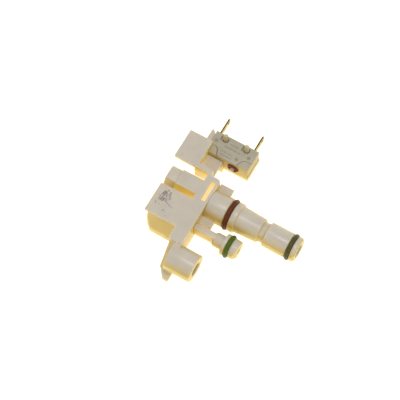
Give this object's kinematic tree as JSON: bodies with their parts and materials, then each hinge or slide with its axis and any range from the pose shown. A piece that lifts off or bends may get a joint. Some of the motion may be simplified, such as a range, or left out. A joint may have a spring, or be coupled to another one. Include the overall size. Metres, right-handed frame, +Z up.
{
  "type": "diverter valve",
  "caption": "Moulded water diverter valve with O-ringed main and pilot spigots, pressure housing, locating boss and a sub-miniature switch on pegs.",
  "frame": {"origin": "centre line of the main tube where it meets the flat outer face of the chamber cap at the back", "axes": "+X along the main tube toward the nose, +Y toward the switch, +Z up through the thin direction of the valve"},
  "size_m": [0.0608, 0.0702, 0.0138],
  "materials": {
    "nylon_body": "satin",
    "nylon_lid": "satin",
    "switch_base": "satin",
    "switch_cover": "matte",
    "rubber_brown": "satin",
    "rubber_dark_green": "satin",
    "rubber_green": "satin",
    "rubber_black": "matte",
    "brass_terminal": "bright",
    "silver_contact": "bright",
    "copper_blade": "bright",
    "spring_steel": "bright",
    "acetal": "satin"
  },
  "bodies": {
    "valve": {"flange_block": "nylon_body", "rear_chamber": "nylon_body", "chamber_cap": "nylon_body", "main_spigot": "nylon_body", "wing_upper": "nylon_body", "wing_lower": "nylon_body", "valve_nose": "nylon_body", "pilot_spigot": "nylon_body", "pressure_housing": "nylon_body", "locating_boss": "nylon_body", "boss_wall": "nylon_body", "rear_plate": "nylon_body", "neck_beam": "nylon_body", "switch_web": "nylon_body", "switch_cradle": "nylon_body", "peg_left": "nylon_body", "peg_right": "nylon_body", "housing_lid": "nylon_lid", "switch_base": "switch_base", "switch_cover": "switch_cover", "main_oring": "rubber_brown", "plunger_seal": "rubber_brown", "nose_oring": "rubber_dark_green", "pilot_oring": "rubber_green", "plug_oring": "rubber_black", "terminal_common": "brass_terminal", "terminal_open": "brass_terminal", "fixed_contact": "silver_contact", "spool_spring": "spring_steel", "pressure_spring": "spring_steel"},
    "spool": {"spool_piston": "acetal", "spool_piston_seal": "rubber_black", "spool_stem": "acetal", "spool_head": "acetal"},
    "pressure_ram": {"pressure_piston": "acetal", "pressure_piston_seal": "rubber_black"},
    "poppet": {"pilot_poppet": "acetal"},
    "button": {"switch_plunger": "acetal"},
    "blade": {"snap_blade": "copper_blade", "moving_contact": "silver_contact"}
  },
  "joints": [
    {"name": "spool_slide", "type": "slide", "parent": "valve", "child": "spool", "axis": [1, 0, 0], "range_m": [0, 0.0025], "stiffness_N_per_m": 400, "springref_m": -0.002, "deforming": ["spool_spring"]},
    {"name": "pressure_slide", "type": "slide", "parent": "valve", "child": "pressure_ram", "axis": [1, 0, 0], "range_m": [0, 0.003], "stiffness_N_per_m": 400, "springref_m": -0.0015, "deforming": ["pressure_spring"]},
    {"name": "poppet_slide", "type": "slide", "parent": "valve", "child": "poppet", "axis": [-1, 0, 0], "range_m": [0, 0.0015], "stiffness_N_per_m": 100, "springref_m": -0.0005},
    {"name": "button_slide", "type": "slide", "parent": "valve", "child": "button", "axis": [0, 1, 0], "range_m": [0, 0.0006], "stiffness_N_per_m": 800, "springref_m": -0.0005},
    {"name": "blade_hinge", "type": "hinge", "parent": "valve", "child": "blade", "pos_m": [0.0105, 0.02161, 0], "axis": [0, 0, 1], "range_deg": [0, 4]}
  ],
  "couplings": [
    {"joint": "blade_hinge", "follows": "button_slide", "rad_per_m": 107.53}
  ]
}
